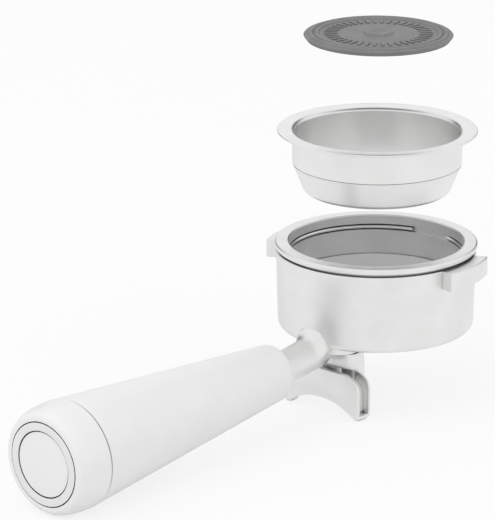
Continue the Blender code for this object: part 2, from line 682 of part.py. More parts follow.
def filter_basket():
    """Pressed sheet: flange, straight wall, taper and a flat floor with a round corner."""
    centre = (BASKET_FLOOR_R - BASKET_CORNER_R, BASKET_CORNER_R - BASKET_DEPTH)
    knee = (BASKET_R, -STRAIGHT_DEPTH)
    reach = math.hypot(knee[0] - centre[0], knee[1] - centre[1])
    bearing = math.atan2(knee[1] - centre[1], knee[0] - centre[0])
    lean = bearing - math.acos(BASKET_CORNER_R / reach)
    lean_degrees = math.degrees(lean)
    inner_r = BASKET_R - SHEET
    inner_line = math.cos(lean) * knee[0] + math.sin(lean) * knee[1] - SHEET
    inner_knee = (inner_r, (inner_line - math.cos(lean) * inner_r) / math.sin(lean))
    bend = (BASKET_R + BASKET_BEND_R, -SHEET - BASKET_BEND_R)
    profile = [(0, -BASKET_DEPTH)] + arc(centre, BASKET_CORNER_R, -90, lean_degrees) + [knee]
    profile += arc(bend, BASKET_BEND_R, 180, 90, EDGE_STEPS) + [(FLANGE_R, -SHEET), (FLANGE_R, 0)]
    profile += arc(bend, BASKET_BEND_R + SHEET, 90, 180, EDGE_STEPS) + [inner_knee]
    profile += arc(centre, BASKET_CORNER_R - SHEET, lean_degrees, -90) + [(0, SHEET - BASKET_DEPTH)]
    return make_object("filter_basket", lathe(profile))


def cleaning_disc():
    """Flexible disc with a tapered edge, raised rings and a low hub."""
    top = DISC_THICK / 2
    profile = [(0, -top), (DISC_R - DISC_EDGE_TAPER, -top), (DISC_R, top - DISC_EDGE_R)]
    profile += [(DISC_R - DISC_EDGE_R, top)]
    for radius in DISC_RIDGES:
        crest = top + DISC_RIDGE_HEIGHT
        profile += [(radius + 2 * DISC_RIDGE_HALF, top), (radius + DISC_RIDGE_HALF, crest)]
        profile += [(radius - DISC_RIDGE_HALF, crest), (radius - 2 * DISC_RIDGE_HALF, top)]
    hub_top = top + DISC_HUB_HEIGHT
    profile += [(DISC_HUB_R + DISC_HUB_HEIGHT, top), (DISC_HUB_R, hub_top), (0, hub_top)]
    return make_object("cleaning_disc", lathe(profile))


def main():
    remove_all_objects()
    rim = make_empty("rim_centre", None, (RIM_X, 0, SPOUT_FOOT_DEPTH))
    handle = make_empty("handle_axis", rim, (0, 0, HANDLE_Z), (0, -math.pi / 2 - HANDLE_DROOP, 0))
    basket = make_empty("basket_axis", rim, (0, 0, BASKET_LIFT))
    disc = make_empty("disc_axis", basket, (0, 0, DISC_ABOVE_FLANGE))
    parts = [
        (portafilter_body, rim, STEEL), (basket_spring, rim, BRIGHT_STEEL),
        (drain_liner, rim, GREY_PLASTIC), (screw_washer, rim, FIBRE),
        (spout_screw, rim, BRIGHT_STEEL), (spout_gasket, rim, RUBBER),
        (twin_spout, rim, STEEL), (neck_stud, handle, BRIGHT_STEEL), (neck_seal, handle, RUBBER),
        (grip_sleeve, handle, BRIGHT_STEEL), (handle_grip, handle, GREY_PLASTIC),
        (flat_washer, handle, BRIGHT_STEEL), (spring_washer, handle, BRIGHT_STEEL),
        (handle_nut, handle, BRIGHT_STEEL), (end_cap, handle, GREY_PLASTIC), (cap_seal, handle, RUBBER),
        (end_ring, handle, STEEL), (end_insert, handle, GREY_PLASTIC),
        (filter_basket, basket, BRIGHT_STEEL), (cleaning_disc, disc, SILICONE),
    ]
    for build, parent, finish in parts:
        finish_part(build(), parent, finish)


main()
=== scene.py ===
"""Looks of the twin-spout portafilter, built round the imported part, with basket and disc lifted out."""
import math

import bmesh
import bpy
from mathutils import Matrix, Vector
from mathutils.geometry import delaunay_2d_cdt


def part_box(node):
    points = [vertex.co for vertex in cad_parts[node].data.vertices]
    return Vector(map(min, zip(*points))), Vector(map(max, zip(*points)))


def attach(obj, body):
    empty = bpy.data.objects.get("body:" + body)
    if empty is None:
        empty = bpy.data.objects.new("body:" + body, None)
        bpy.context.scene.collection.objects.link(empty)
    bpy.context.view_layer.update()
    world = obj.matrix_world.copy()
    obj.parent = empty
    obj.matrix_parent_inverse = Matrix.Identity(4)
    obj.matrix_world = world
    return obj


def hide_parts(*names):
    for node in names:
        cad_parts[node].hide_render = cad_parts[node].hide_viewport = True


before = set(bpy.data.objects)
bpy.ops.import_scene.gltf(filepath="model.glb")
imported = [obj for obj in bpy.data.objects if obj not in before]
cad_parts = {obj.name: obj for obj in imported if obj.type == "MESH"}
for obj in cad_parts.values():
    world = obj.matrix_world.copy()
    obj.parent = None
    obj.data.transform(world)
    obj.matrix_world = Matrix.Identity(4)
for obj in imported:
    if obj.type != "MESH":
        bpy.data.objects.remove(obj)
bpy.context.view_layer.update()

MM = 0.001

# Mesh fineness and fits
ROUND_STEPS = 176
SMALL_STEPS = 64
CORNER_STEPS = 8
EDGE_STEPS = 5
FINE_EDGE_STEPS = 4
SHEET_EDGE_STEPS = 3
BEVEL_STEPS = 3
BEVEL_ROUND = 0.5
GAP = 0.3 * MM
TOUCH = 0.03 * MM
WELD = 0.001 * MM
OVERCUT = 2.0 * MM
SMOOTH_ANGLE = math.radians(28)

# Cup: heights are below the rim's top face
RIM_R = 33.1 * MM
RIM_EDGE_R = 0.6 * MM
BEAD_HEIGHT = 2.0 * MM
NECKING_R = 31.5 * MM
SHOULDER_DEPTH = 2.8 * MM
SHOULDER_EDGE_R = 0.4 * MM
WALL_TOP_R = 32.7 * MM
WALL_LOW_R = 32.1 * MM
CUP_DEPTH = 28.9 * MM
CUP_CORNER_R = 2.4 * MM
BORE_R = 28.6 * MM
BORE_CHAMFER = 0.4 * MM
FLOOR_THICK = 3.3 * MM
INNER_CORNER_R = 3.0 * MM

# Bayonet lugs
LUG_R = 37.2 * MM
LUG_ROOT_R = 31.0 * MM
LUG_TOP_DEPTH = 2.8 * MM
LUG_HEIGHT = 6.0 * MM
LUG_CENTRE = math.radians(-81)
LUG_SPAN = math.radians(36.5)
LUG_EDGE = 0.5 * MM
LUG_EDGE_STEPS = 4
LUG_STEPS = 30

# Basket spring
SPRING_DEPTH = 4.2 * MM
SPRING_WIRE_R = 0.6 * MM
SPRING_R = 28.75 * MM
SPRING_GROOVE_R = 29.7 * MM
SPRING_GROOVE_HALF = 1.0 * MM
SPRING_OPENING = math.radians(30)
WIRE_STEPS = 16

# Outlet, its hollow screw and the liner on the floor
OUTLET_X = -18.8 * MM
OUTLET_HOLE_R = 3.9 * MM
SPOTFACE_R = 6.8 * MM
SPOTFACE_DEPTH = 26.6 * MM
SCREW_HEAD_R = 6.0 * MM
SCREW_HEAD_THICK = 1.8 * MM
SCREW_SHANK_R = 3.6 * MM
SCREW_BORE_R = 2.4 * MM
SCREW_END_DEPTH = 37.6 * MM
SCREW_WASHER_THICK = 0.8 * MM
LINER_THICK = 1.2 * MM
LINER_TOP_DEPTH = 13.5 * MM
LINER_HOLE_R = 7.2 * MM

# Pad under the cup
PAD_DEPTH = 30.9 * MM
PAD_LENGTH = 18.0 * MM
PAD_WIDTH = 22.0 * MM
PAD_CORNER_R = 6.0 * MM
PAD_CENTRE_X = -21.0 * MM
PAD_EDGE = 0.5 * MM

# Twin spout: X is across the gutter, Y along it
SPOUT_FOOT_DEPTH = 52.6 * MM
GUTTER_FRONT_X = -27.6 * MM
GUTTER_BACK_X = -21.0 * MM
GUTTER_WALL = 1.1 * MM
GUTTER_EDGE = 0.45 * MM
GUTTER_HALF = 16.0 * MM
GUTTER_TOP_DEPTH = 37.3 * MM
GUTTER_TOP_FALL = 5.0 * MM
GUTTER_FLAT_HALF = 9.0 * MM
ARCH_CROWN_DEPTH = 47.3 * MM
ARCH_END_DEPTH = 51.7 * MM
FOOT_INNER_Y = 14.0 * MM
FOOT_OUTER_Y = 14.7 * MM
FOOT_SIDE_RISE = 3.4 * MM
CHANNEL_DEPTH = 2.6 * MM
CHANNEL_HALF = 13.8 * MM
LIP_DEPTH = 50.6 * MM
FOOT_ROUND = 3.3 * MM
FOOT_ROUND_OVER = 0.5 * MM
GUTTER_STEPS = 40
HOOD_FRONT_X = -25.0 * MM
HOOD_BACK_X = -16.8 * MM
HOOD_HALF = 11.0 * MM
HOOD_CORNER_R = 3.0 * MM
HOOD_EDGE = 0.4 * MM
HOOD_END_DEPTH = 36.6 * MM
REAR_FRONT_X = -22.6 * MM
REAR_END_DEPTH = 42.0 * MM
REAR_CORNER_R = 2.5 * MM
STEM_R = 6.2 * MM
STEM_END_DEPTH = 43.6 * MM
WELL_FLOOR_DEPTH = 41.4 * MM
WELL_TOP_DEPTH = 38.8 * MM
WELL_HALF = 4.4 * MM
WELL_FRONT_X = -24.0 * MM
WELL_BACK_X = -16.0 * MM
GASKET_THICK = 0.9 * MM
GASKET_SEAT_R = 5.45 * MM

# Handle: distances run along its axis from the cup's axis
HANDLE_DROOP = math.radians(1.53)
GRIP_START = 50.0 * MM
GRIP_END = 142.0 * MM
GRIP_FRONT_R = 9.4 * MM
GRIP_REAR_R = 17.25 * MM
GRIP_NOSE_R = 2.4 * MM
GRIP_EDGE_R = 0.5 * MM
GRIP_SOCKET_R = 6.0 * MM
CAP_SOCKET_R = 13.0 * MM
CAP_SOCKET_START = 129.0 * MM
GRIP_LOOPS = 24
NECK_R = 5.4 * MM
NECK_SIDE_R = 5.6 * MM
NECK_START = 24.6 * MM
NECK_BEND = 40.0 * MM
NECK_RISE = 1.9 * MM
NECK_BEND_RISE = 0.4 * MM
NECK_STRAIGHT = 47.3 * MM
NECK_STEPS = 60
NECK_END = 51.0 * MM
FLARE_START_X = -36.1 * MM
FLARE_R = 4.0 * MM
FLARE_REACH = 3.8 * MM
NECK_CUT_LOW = (-32.0 * MM, -38.5 * MM)
NECK_CUT_X = -27.9 * MM
SPIGOT_R = 5.3 * MM
SPIGOT_START = 50.4 * MM
SPIGOT_END = 61.0 * MM
NECK_SEAL_AT = 53.0 * MM
NECK_SEAL_GROOVE_R = 4.2 * MM
SEAL_GROOVE_HALF = 1.0 * MM
STUD_START = 38.0 * MM
STUD_HOLE_R = 3.2 * MM
GRIP_BORE_R = 4.9 * MM
NUT_POCKET_START = 121.8 * MM
NUT_POCKET_R = 7.4 * MM
CAP_R = 17.4 * MM
CAP_STRAIGHT = 0.6 * MM
CAP_END = 154.2 * MM
CAP_MOUTH_R = 13.55 * MM
CAP_LIP = 0.5 * MM
CAP_FULLNESS = 0.72
CAP_DOME_STEPS = 24
CAP_SPIGOT_R = 12.4 * MM
CAP_SPIGOT_START = 129.6 * MM
CAP_CAVITY_R = 9.5 * MM
CAP_CAVITY_END = 149.4 * MM
CAP_SEAL_AT = 133.0 * MM
CAP_SEAL_GROOVE_R = 11.2 * MM
RECESS_FLOOR = 151.9 * MM
RING_R = 13.25 * MM
RING_INNER_R = 10.6 * MM
RING_FACE = 154.6 * MM
RING_EDGE = 0.5 * MM
INSERT_R = 10.25 * MM
INSERT_EDGE = 154.1 * MM
INSERT_DOME = 0.4 * MM
INSERT_STEPS = 16

# Basket and disc: heights are below the basket's flange
SHEET = 0.6 * MM
FLANGE_R = 32.5 * MM
FLANGE_EDGE_R = 0.25 * MM
BASKET_R = 27.6 * MM
BASKET_BEND_R = 0.9 * MM
STRAIGHT_DEPTH = 11.0 * MM
BASKET_DEPTH = 20.6 * MM
BASKET_FLOOR_R = 24.4 * MM
BASKET_CORNER_R = 2.2 * MM
CREASE_DEPTH = 0.26 * MM
CREASE_HALF = 0.16 * MM
HOLE_R = 0.42 * MM
HOLE_PITCH = 1.75 * MM
HOLE_FIELD_R = 20.6 * MM
HOLE_SIDES = 10
HOLE_SHARE = 0.98
TRIANGLE_TOLERANCE = 1e-7
DISC_R = 24.1 * MM
DISC_THICK = 1.8 * MM
DISC_EDGE_TAPER = 1.0 * MM
DISC_EDGE_R = 0.4 * MM
DISC_RIDGES = (21.9 * MM, 19.9 * MM)
DISC_RIDGE_HALF = 0.45 * MM
DISC_RIDGE_HEIGHT = 0.5 * MM
DISC_HUB_R = 4.2 * MM
DISC_HUB_HEIGHT = 0.7 * MM
DIMPLE_R = 2.6 * MM
DIMPLE_DEPTH = 0.4 * MM
RIB_COUNT = 40
RIB_INNER_R = 13.4 * MM
RIB_OUTER_R = 17.4 * MM
RIB_HALF = 0.42 * MM
RIB_HEIGHT = 0.4 * MM

# Camera: distances are from the rim's centre, lens and sensor in millimetres
CAMERA_AZIMUTH = math.radians(-47.92)
CAMERA_ELEVATION = math.radians(17.42)
CAMERA_DISTANCE = 1200 * MM
CAMERA_RIGHT = -42.06 * MM
CAMERA_UP = -6.67 * MM
CAMERA_LENS = 254.2
CAMERA_SENSOR = 36
CAMERA_NEAR = 0.01
CAMERA_FAR = 100

# Grain of the finishes, and the painted shade in their seams
NOISE_LOW = 0.3
NOISE_HIGH = 0.7
NOISE_DETAIL = 3.0
# how far the painted seam shade reaches, how finely it is sampled, and where it is full and where it clears
SEAM_SHADE_REACH = 0.9 * MM
SEAM_SHADE_SAMPLES = 8
SEAM_SHADE_FULL_AT = 0.15
SEAM_SHADE_CLEAR_AT = 0.62
# colour of the painted shade in steel seams and grooves
STEEL_SEAM_SHADE = (0.05, 0.048, 0.045)
STEEL_CLOUD_SCALE = 90
TURNING_SCALE = 2600
TURNING_MARK_SCALE = 5200
TURNING_MARK_DEPTH = 0.02 * MM
# darkness of the painted shade in plastic seams, as a share of the plastic's dark colour
PLASTIC_SEAM_SHADE_SHARE = 0.12
PLASTIC_CLOUD_SCALE = 120
PLASTIC_GLOSS_SCALE = 700
GRAIN_SCALE = 3800
GRAIN_DETAIL = 5.0
GRAIN_DEPTH = 0.03 * MM

# Room, floor, lights and cards: places are sideways, upwards and towards the camera from the middle
AMBIENT = 0.87
FLOOR_HALF = 8.0
FLOOR_GREY = 0.86
FLOOR_GLOW = 0.8
MIDDLE = Vector((0, 0, 60 * MM))
KEY_PLACE = (-0.9, 1.1, 1.0)
KEY_SIZE = 1.8
KEY_POWER = 9
FILL_PLACE = (1.3, 0.5, 0.9)
FILL_SIZE = 1.6
FILL_POWER = 3
CARD_SIDE = 0.34
CARD_TOWARDS = -0.6
CARD_WIDTH = 0.36
CARD_HEIGHT = 1.4
CARD_SHADE = 0.06
UNIT_HALF = 0.5

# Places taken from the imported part
basket_low, basket_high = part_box("filter_basket")
_, body_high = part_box("portafilter_body")
disc_low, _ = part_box("cleaning_disc")
AXIS_X = (basket_low.x + basket_high.x) / 2
RIM = Vector((AXIS_X, 0, body_high.z))
FLANGE = Vector((AXIS_X, 0, basket_high.z))
DISC = Vector((AXIS_X, 0, disc_low.z + DISC_THICK / 2))
DROOP_SIN = math.sin(HANDLE_DROOP)
DROOP_COS = math.cos(HANDLE_DROOP)
CAP_SHOULDER = GRIP_END + CAP_STRAIGHT
CAP_LIP_R = CAP_MOUTH_R + CAP_LIP
CAP_TURNS = [math.pi / 2 * step / CAP_DOME_STEPS for step in range(CAP_DOME_STEPS + 1)]
CAP_DOME = [(CAP_LIP_R + (CAP_R - CAP_LIP_R) * math.cos(a) ** CAP_FULLNESS,
             CAP_SHOULDER + (CAP_END - CAP_SHOULDER) * math.sin(a) ** CAP_FULLNESS) for a in CAP_TURNS]
CAP_LOWEST = max(radius * DROOP_COS + along * DROOP_SIN for radius, along in CAP_DOME)
HANDLE_Z = CAP_LOWEST - SPOUT_FOOT_DEPTH
HANDLE_FRAME = Matrix.Translation((0, 0, HANDLE_Z)) @ Matrix.Rotation(-math.pi / 2 - HANDLE_DROOP, 4, "Y")
AT_RIM = Matrix.Translation(RIM)
AT_FLANGE = Matrix.Translation(FLANGE)
AT_DISC = Matrix.Translation(DISC)
AT_HANDLE = AT_RIM @ HANDLE_FRAME


def make_object(name, form):
    bmesh.ops.recalc_face_normals(form, faces=form.faces)
    mesh = bpy.data.meshes.new(name)
    form.to_mesh(mesh)
    form.free()
    made = bpy.data.objects.new(name, mesh)
    bpy.context.scene.collection.objects.link(made)
    return made


def combine(base, form, operation):
    other = make_object("other", form)
    modifier = base.modifiers.new("combine", "BOOLEAN")
    modifier.operation = operation
    modifier.solver = "EXACT"
    modifier.object = other
    graph = bpy.context.evaluated_depsgraph_get()
    result = bpy.data.meshes.new_from_object(base.evaluated_get(graph))
    base.modifiers.clear()
    base.data = result
    bpy.data.objects.remove(other, do_unlink=True)


def cut(base, form):
    combine(base, form, "DIFFERENCE")


def join(base, form):
    combine(base, form, "UNION")


def arc(centre, radius, start, end, steps=CORNER_STEPS):
    """Points on an arc in a plane; angles are in degrees, both ends included."""
    angles = [math.radians(start + (end - start) * step / steps) for step in range(steps + 1)]
    return [(centre[0] + radius * math.cos(a), centre[1] + radius * math.sin(a)) for a in angles]


def lathe(profile, steps=ROUND_STEPS):
    """Turns (radius, height) points round Z. A profile that starts on the axis ends on it too."""
    form = bmesh.new()
    turns = [2 * math.pi * step / steps for step in range(steps)]
    rings = []
    for radius, height in profile:
        if radius == 0:
            rings.append([form.verts.new((0, 0, height))])
        else:
            ring = [(radius * math.cos(a), radius * math.sin(a), height) for a in turns]
            rings.append([form.verts.new(corner) for corner in ring])
    pairs = list(zip(rings, rings[1:]))
    if profile[0][0] != 0:
        pairs.append((rings[-1], rings[0]))
    for lower, upper in pairs:
        for this in range(steps):
            after = (this + 1) % steps
            corners = (lower[this % len(lower)], lower[after % len(lower)],
                       upper[after % len(upper)], upper[this % len(upper)])
            form.faces.new(list(dict.fromkeys(corners)))
    return form


def rod(radius, low, high, steps=SMALL_STEPS):
    return lathe([(0, low), (radius, low), (radius, high), (0, high)], steps)


def prism(outline, axis, start, end, edge=0):
    """Extrudes a flat outline along X (outline is y, z), Y (outline is x, z) or Z (outline is x, y)."""
    form = bmesh.new()
    place = {"X": lambda p, at: (at, p[0], p[1]), "Y": lambda p, at: (p[0], at, p[1]),
             "Z": lambda p, at: (p[0], p[1], at)}[axis]
    lower = [form.verts.new(place(point, start)) for point in outline]
    upper = [form.verts.new(place(point, end)) for point in outline]
    ends = [form.faces.new(lower), form.faces.new(upper)]
    for this in range(len(outline)):
        form.faces.new((lower[this - 1], lower[this], upper[this], upper[this - 1]))
    if edge:
        bmesh.ops.recalc_face_normals(form, faces=form.faces)
        rim = list({e for face in ends for e in face.edges})
        bmesh.ops.bevel(form, geom=rim, offset=edge, segments=BEVEL_STEPS, profile=BEVEL_ROUND,
                        affect="EDGES", clamp_overlap=False)
    return form


def rounded_rectangle(centre_x, length, width, corner):
    outline = []
    for side_x, side_y, start in ((1, 1, 0), (-1, 1, 90), (-1, -1, 180), (1, -1, 270)):
        middle = (centre_x + side_x * (length / 2 - corner), side_y * (width / 2 - corner))
        outline += arc(middle, corner, start, start + 90)
    return outline


def sweep(path, side, section_steps, half_height, half_width):
    """Tube with an oval section along a path; side gives the section's sideways direction."""
    form = bmesh.new()
    rings = []
    for index, point in enumerate(path):
        before = path[max(index - 1, 0)]
        after = path[min(index + 1, len(path) - 1)]
        across = side(point)
        upward = (after - before).normalized().cross(across)
        ring = []
        for step in range(section_steps):
            a = 2 * math.pi * step / section_steps
            offset = across * (half_width * math.cos(a)) + upward * (half_height * math.sin(a))
            ring.append(form.verts.new(point + offset))
        rings.append(ring)
    for lower, upper in zip(rings, rings[1:]):
        for this in range(section_steps):
            after = (this + 1) % section_steps
            form.faces.new((lower[this], lower[after], upper[after], upper[this]))
    form.faces.new(rings[0])
    form.faces.new(rings[-1])
    return form


def at_outlet(form):
    bmesh.ops.translate(form, verts=form.verts, vec=(OUTLET_X, 0, 0))
    return form


def on_handle(form):
    """Moves a form from the handle's own axis into the rim's frame."""
    bmesh.ops.transform(form, matrix=HANDLE_FRAME, verts=form.verts)
    return form


def cup_outside():
    corner = (WALL_LOW_R - CUP_CORNER_R, CUP_CORNER_R - CUP_DEPTH)
    profile = [(0, -CUP_DEPTH), (BORE_R / 3, -CUP_DEPTH), (BORE_R * 2 / 3, -CUP_DEPTH)]
    profile += arc(corner, CUP_CORNER_R, -90, 0, 2 * CORNER_STEPS)
    wall_end = -SHOULDER_DEPTH - SHOULDER_EDGE_R
    for step in range(1, CORNER_STEPS):
        t = step / CORNER_STEPS
        profile.append((WALL_LOW_R + (WALL_TOP_R - WALL_LOW_R) * t, corner[1] + (wall_end - corner[1]) * t))
    profile += arc((WALL_TOP_R - SHOULDER_EDGE_R, wall_end), SHOULDER_EDGE_R, 0, 90, FINE_EDGE_STEPS)
    profile += [(NECKING_R, -SHOULDER_DEPTH), (NECKING_R, -BEAD_HEIGHT)]
    profile += arc((RIM_R - RIM_EDGE_R, RIM_EDGE_R - BEAD_HEIGHT), RIM_EDGE_R, -90, 0, EDGE_STEPS)
    profile += arc((RIM_R - RIM_EDGE_R, -RIM_EDGE_R), RIM_EDGE_R, 0, 90, EDGE_STEPS)
    profile += [(BORE_R * 2 / 3, 0), (0, 0)]
    return lathe(profile)


def cup_inside():
    floor = FLOOR_THICK - CUP_DEPTH
    profile = [(0, floor), (BORE_R / 2, floor)]
    profile += arc((BORE_R - INNER_CORNER_R, floor + INNER_CORNER_R), INNER_CORNER_R, -90, 0)
    profile += [(BORE_R, -LINER_TOP_DEPTH), (BORE_R, -SPRING_DEPTH - SPRING_GROOVE_HALF)]
    profile += [(SPRING_GROOVE_R, -SPRING_DEPTH - SPRING_GROOVE_HALF)]
    profile += [(SPRING_GROOVE_R, -SPRING_DEPTH + SPRING_GROOVE_HALF)]
    profile += [(BORE_R, -SPRING_DEPTH + SPRING_GROOVE_HALF), (BORE_R, -BORE_CHAMFER)]
    profile += [(BORE_R + BORE_CHAMFER, 0), (BORE_R + BORE_CHAMFER, OVERCUT), (0, OVERCUT)]
    return lathe(profile)


def lug(centre):
    """One bayonet lug: a sector of a ring with its outer edges rounded."""
    angles = [centre + LUG_SPAN * (step / LUG_STEPS - 0.5) for step in range(LUG_STEPS + 1)]
    outline = [(LUG_R * math.cos(a), LUG_R * math.sin(a)) for a in angles]
    outline += [(LUG_ROOT_R * math.cos(a), LUG_ROOT_R * math.sin(a)) for a in reversed(angles)]
    form = prism(outline, "Z", -LUG_TOP_DEPTH - LUG_HEIGHT, -LUG_TOP_DEPTH)
    outside = (LUG_R + WALL_TOP_R) / 2
    edges = [e for e in form.edges if all(corner.co.xy.length > outside for corner in e.verts)]
    bmesh.ops.recalc_face_normals(form, faces=form.faces)
    sharp = [e for e in edges if e.calc_face_angle(0) > SMOOTH_ANGLE]
    bmesh.ops.bevel(form, geom=sharp, offset=LUG_EDGE, segments=LUG_EDGE_STEPS, profile=BEVEL_ROUND,
                    affect="EDGES")
    return form


def neck():
    """Arm under the cup: it runs along the handle's axis and its top curves up into the cup's wall."""
    start = HANDLE_FRAME @ Vector((NECK_RISE, 0, NECK_START))
    bend = HANDLE_FRAME @ Vector((NECK_BEND_RISE, 0, NECK_BEND))
    straight = HANDLE_FRAME @ Vector((0, 0, NECK_STRAIGHT))
    path = []
    for step in range(NECK_STEPS + 1):
        t = step / NECK_STEPS
        path.append(start * (1 - t) ** 2 + bend * (2 * t * (1 - t)) + straight * t * t)
    path.append(HANDLE_FRAME @ Vector((0, 0, NECK_END)))
    form = sweep(path, lambda point: Vector((0, 1, 0)), SMALL_STEPS, NECK_R, NECK_SIDE_R)
    for corner in form.verts:
        along = min(max(corner.co.x - FLARE_START_X, 0), FLARE_REACH)
        rise = FLARE_R - math.sqrt(FLARE_R ** 2 - along ** 2)
        share = max(corner.co.z - HANDLE_Z, 0) / NECK_R
        corner.co.y *= 1 + rise * share / NECK_SIDE_R
        corner.co.z += rise * share
    return form


def cup_body():
    body = make_object("cup_body", cup_outside())
    pad = rounded_rectangle(PAD_CENTRE_X, PAD_LENGTH, PAD_WIDTH, PAD_CORNER_R)
    join(body, prism(pad, "Z", -PAD_DEPTH, FLOOR_THICK / 2 - CUP_DEPTH, PAD_EDGE))
    join(body, neck())
    for centre in (LUG_CENTRE, LUG_CENTRE + math.pi):
        join(body, lug(centre))
    spout_room = [NECK_CUT_LOW, (NECK_CUT_X, -PAD_DEPTH), (0, -PAD_DEPTH), (0, NECK_CUT_LOW[1])]
    cut(body, prism(spout_room, "Y", -GUTTER_HALF, GUTTER_HALF))
    groove_start = NECK_SEAL_AT - SEAL_GROOVE_HALF
    groove_end = NECK_SEAL_AT + SEAL_GROOVE_HALF
    spigot = [(0, SPIGOT_START), (SPIGOT_R, SPIGOT_START), (SPIGOT_R, groove_start)]
    spigot += [(NECK_SEAL_GROOVE_R, groove_start), (NECK_SEAL_GROOVE_R, groove_end)]
    spigot += [(SPIGOT_R, groove_end), (SPIGOT_R, SPIGOT_END), (0, SPIGOT_END)]
    join(body, on_handle(lathe(spigot, SMALL_STEPS)))
    cut(body, cup_inside())
    outlet = [(0, -PAD_DEPTH - OVERCUT), (OUTLET_HOLE_R, -PAD_DEPTH - OVERCUT)]
    outlet += [(OUTLET_HOLE_R, -SPOTFACE_DEPTH), (SPOTFACE_R, -SPOTFACE_DEPTH)]
    outlet += [(SPOTFACE_R, -LINER_TOP_DEPTH), (0, -LINER_TOP_DEPTH)]
    cut(body, at_outlet(lathe(outlet, SMALL_STEPS)))
    cut(body, on_handle(rod(STUD_HOLE_R, STUD_START - GAP, SPIGOT_END + OVERCUT)))
    return body


def spring_wire():
    turns = 2 * math.pi - SPRING_OPENING
    path = []
    for step in range(ROUND_STEPS + 1):
        a = SPRING_OPENING / 2 + turns * step / ROUND_STEPS
        path.append(Vector((SPRING_R * math.cos(a), SPRING_R * math.sin(a), -SPRING_DEPTH)))
    wire = sweep(path, lambda point: point.xy.normalized().to_3d(), WIRE_STEPS,
                 SPRING_WIRE_R, SPRING_WIRE_R)
    return make_object("spring_wire", wire)


def floor_liner():
    floor = FLOOR_THICK - CUP_DEPTH + GAP
    outer = BORE_R - GAP
    corner = (BORE_R - INNER_CORNER_R, floor - GAP + INNER_CORNER_R)
    profile = [(0, floor), (BORE_R / 2, floor)]
    profile += arc(corner, INNER_CORNER_R - GAP, -90, 0)
    profile += [(outer, -LINER_TOP_DEPTH), (outer - LINER_THICK, -LINER_TOP_DEPTH)]
    profile += arc(corner, INNER_CORNER_R - GAP - LINER_THICK, 0, -90)
    profile += [(BORE_R / 2, floor + LINER_THICK), (0, floor + LINER_THICK)]
    liner = make_object("floor_liner", lathe(profile))
    cut(liner, at_outlet(rod(LINER_HOLE_R, -PAD_DEPTH, -LINER_TOP_DEPTH)))
    return liner


def hollow_screw():
    seat = 2 * GAP + SCREW_WASHER_THICK - SPOTFACE_DEPTH
    top = seat + SCREW_HEAD_THICK
    profile = [(SCREW_BORE_R, -SCREW_END_DEPTH), (SCREW_SHANK_R, -SCREW_END_DEPTH), (SCREW_SHANK_R, seat)]
    profile += [(SCREW_HEAD_R, seat)]
    profile += arc((SCREW_HEAD_R - GAP, top - GAP), GAP, 0, 90, FINE_EDGE_STEPS)
    profile += [(SCREW_BORE_R + GAP, top), (SCREW_BORE_R, top - GAP)]
    return make_object("hollow_screw", at_outlet(lathe(profile, SMALL_STEPS)))


def oval_top(y, half, depth):
    """Height of the gutter's top edge or channel floor: flat in the middle, an oval corner at each end."""
    along = max(abs(y) - GUTTER_FLAT_HALF, 0) / (half - GUTTER_FLAT_HALF)
    return -depth - GUTTER_TOP_FALL * (1 - math.sqrt(1 - along * along))


def oval_edge(half, depth):
    places = [half * math.cos(math.pi * step / GUTTER_STEPS) for step in range(GUTTER_STEPS + 1)]
    return [(y, oval_top(y, half, depth)) for y in places]


def arch():
    """Points of the arch between the two feet, along +Y."""
    rise = ARCH_END_DEPTH - ARCH_CROWN_DEPTH
    radius = (FOOT_INNER_Y ** 2 + rise ** 2) / (2 * rise)
    centre = -ARCH_CROWN_DEPTH - radius
    places = [FOOT_INNER_Y * (2 * step / GUTTER_STEPS - 1) for step in range(GUTTER_STEPS + 1)]
    return [(y, centre + math.sqrt(radius ** 2 - y * y)) for y in places]


def gutter_outline():
    side = [(FOOT_INNER_Y + GAP, -SPOUT_FOOT_DEPTH)]
    for step in range(CORNER_STEPS + 1):
        a = math.pi / 2 * step / CORNER_STEPS
        side.append((FOOT_OUTER_Y + (GUTTER_HALF - FOOT_OUTER_Y) * math.sin(a),
                     FOOT_SIDE_RISE * (1 - math.cos(a)) - SPOUT_FOOT_DEPTH))
    top = oval_edge(GUTTER_HALF, GUTTER_TOP_DEPTH)
    return arch() + side + top + [(-y, z) for y, z in reversed(side)]


def foot_outline():
    """Outline in X and Z that rounds the feet off, a little wider than the gutter."""
    front = GUTTER_FRONT_X - FOOT_ROUND_OVER + FOOT_ROUND
    back = GUTTER_BACK_X + FOOT_ROUND_OVER - FOOT_ROUND
    height = FOOT_ROUND - SPOUT_FOOT_DEPTH
    corners = arc((front, height), FOOT_ROUND, 180, 270) + arc((back, height), FOOT_ROUND, 270, 360)
    return corners + [(back + FOOT_ROUND, -PAD_DEPTH), (front - FOOT_ROUND, -PAD_DEPTH)]


def channel_outline():
    """The channel's floor follows the gutter's top edge and turns down to a lip at each end."""
    end = GUTTER_HALF + OVERCUT
    lip = [(-CHANNEL_HALF, -LIP_DEPTH), (-end, -LIP_DEPTH), (-end, -PAD_DEPTH)]
    lip += [(end, -PAD_DEPTH), (end, -LIP_DEPTH), (CHANNEL_HALF, -LIP_DEPTH)]
    return oval_edge(CHANNEL_HALF, GUTTER_TOP_DEPTH + CHANNEL_DEPTH) + lip


